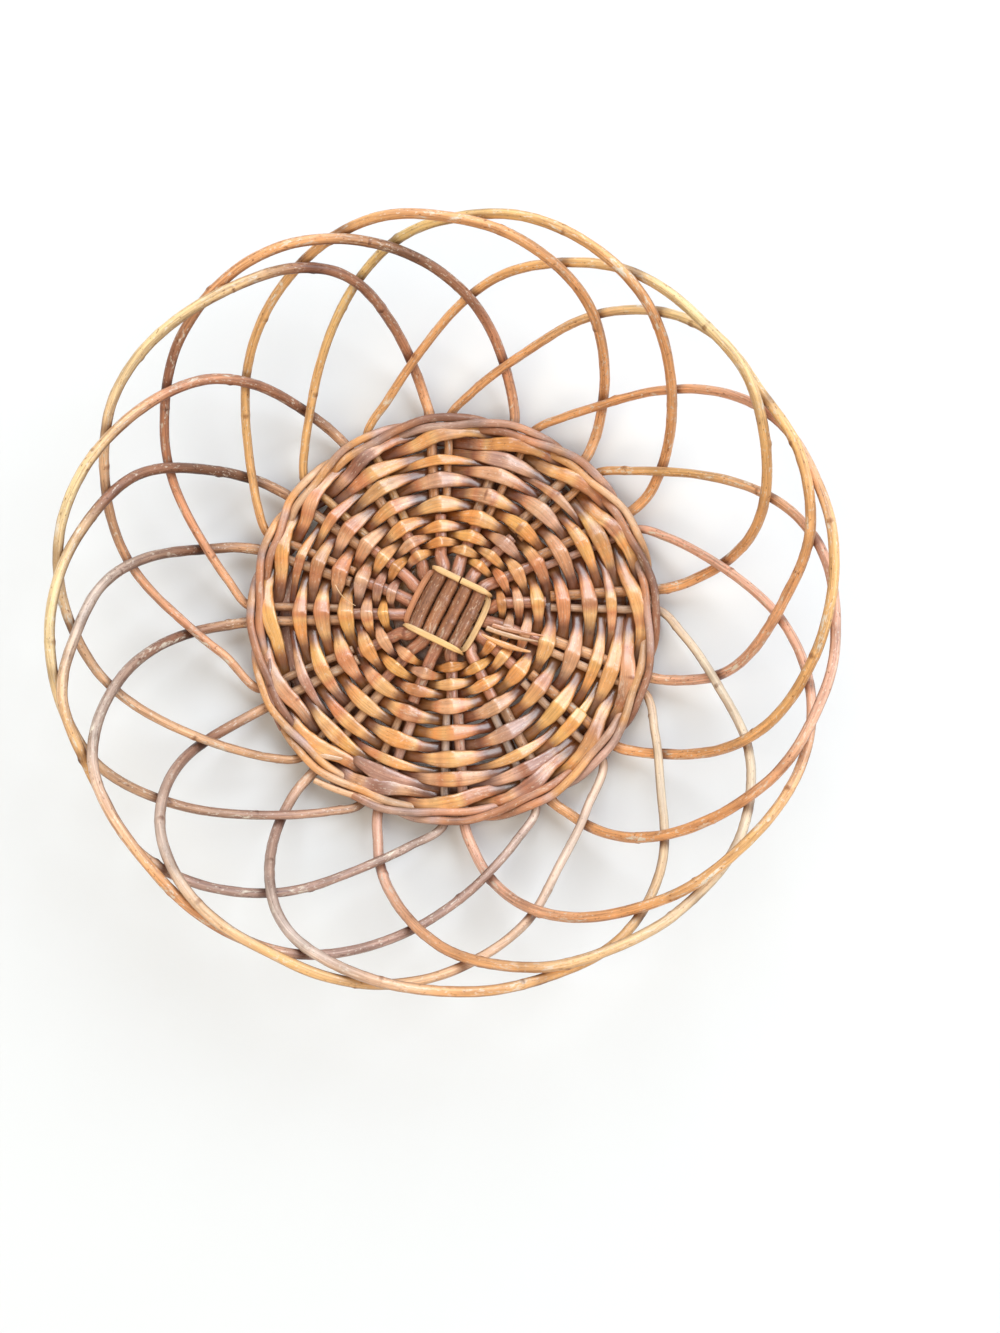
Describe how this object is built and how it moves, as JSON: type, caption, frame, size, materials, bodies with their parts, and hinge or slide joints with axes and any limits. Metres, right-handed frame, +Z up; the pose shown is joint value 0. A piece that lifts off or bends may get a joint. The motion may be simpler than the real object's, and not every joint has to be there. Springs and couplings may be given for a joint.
{
  "type": "wicker basket bowl",
  "caption": "Shallow round openwork willow bowl with a flat woven base and a flared side of interlaced arched rods, for holding fruit or bread.",
  "frame": {"origin": "centre of the bounding box in plan, on the plane that the bowl stands on", "axes": "+Z up, out of the open mouth; +X and +Y lie in the standing plane, +X towards the first pair of rods counted counter-clockwise"},
  "size_m": [0.3213, 0.3197, 0.0872],
  "materials": {
    "arch_willow": "peeled and boiled willow rod, orange brown, satin to semi-gloss bark-side skin with small scars",
    "pale_arch_willow": "paler straw-coloured willow rod, satin",
    "golden_weaver_willow": "golden flattened willow weaver, satin, faint long grain",
    "mauve_weaver_willow": "mauve-brown flattened willow weaver, satin, worn speckle",
    "wale_willow": "thin round willow rod, brown to straw, satin",
    "base_stick_willow": "thick brown willow stick with skin left on, dull satin",
    "tie_willow": "thin flat straw-coloured willow skein, satin"
  },
  "bodies": {
    "root": {"arch_rod_01": "arch_willow", "arch_rod_02": "arch_willow", "arch_rod_03": "arch_willow", "arch_rod_04": "arch_willow", "arch_rod_05": "arch_willow", "arch_rod_06": "arch_willow", "arch_rod_07": "arch_willow", "arch_rod_08": "arch_willow", "arch_rod_09": "arch_willow", "arch_rod_10": "pale_arch_willow", "arch_rod_11": "pale_arch_willow", "arch_rod_12": "pale_arch_willow", "arch_rod_13": "arch_willow", "arch_rod_14": "arch_willow", "arch_rod_15": "arch_willow", "arch_rod_16": "arch_willow", "base_stick_upper_1": "base_stick_willow", "base_stick_upper_2": "base_stick_willow", "base_stick_upper_3": "base_stick_willow", "base_stick_upper_4": "base_stick_willow", "base_stick_lower_1": "base_stick_willow", "base_stick_lower_2": "base_stick_willow", "base_stick_lower_3": "base_stick_willow", "base_stick_lower_4": "base_stick_willow", "cross_tie_outer": "tie_willow", "cross_tie_inner": "tie_willow", "weaver_a_length_1": "golden_weaver_willow", "weaver_a_length_2": "golden_weaver_willow", "weaver_a_length_3": "golden_weaver_willow", "twined_weaver_a": "golden_weaver_willow", "weaver_b_length_1": "mauve_weaver_willow", "weaver_b_length_2": "mauve_weaver_willow", "weaver_b_length_3": "mauve_weaver_willow", "twined_weaver_b": "mauve_weaver_willow", "wale_rod_1": "wale_willow", "wale_rod_2": "wale_willow", "wale_rod_3": "wale_willow"}
  },
  "joints": []
}
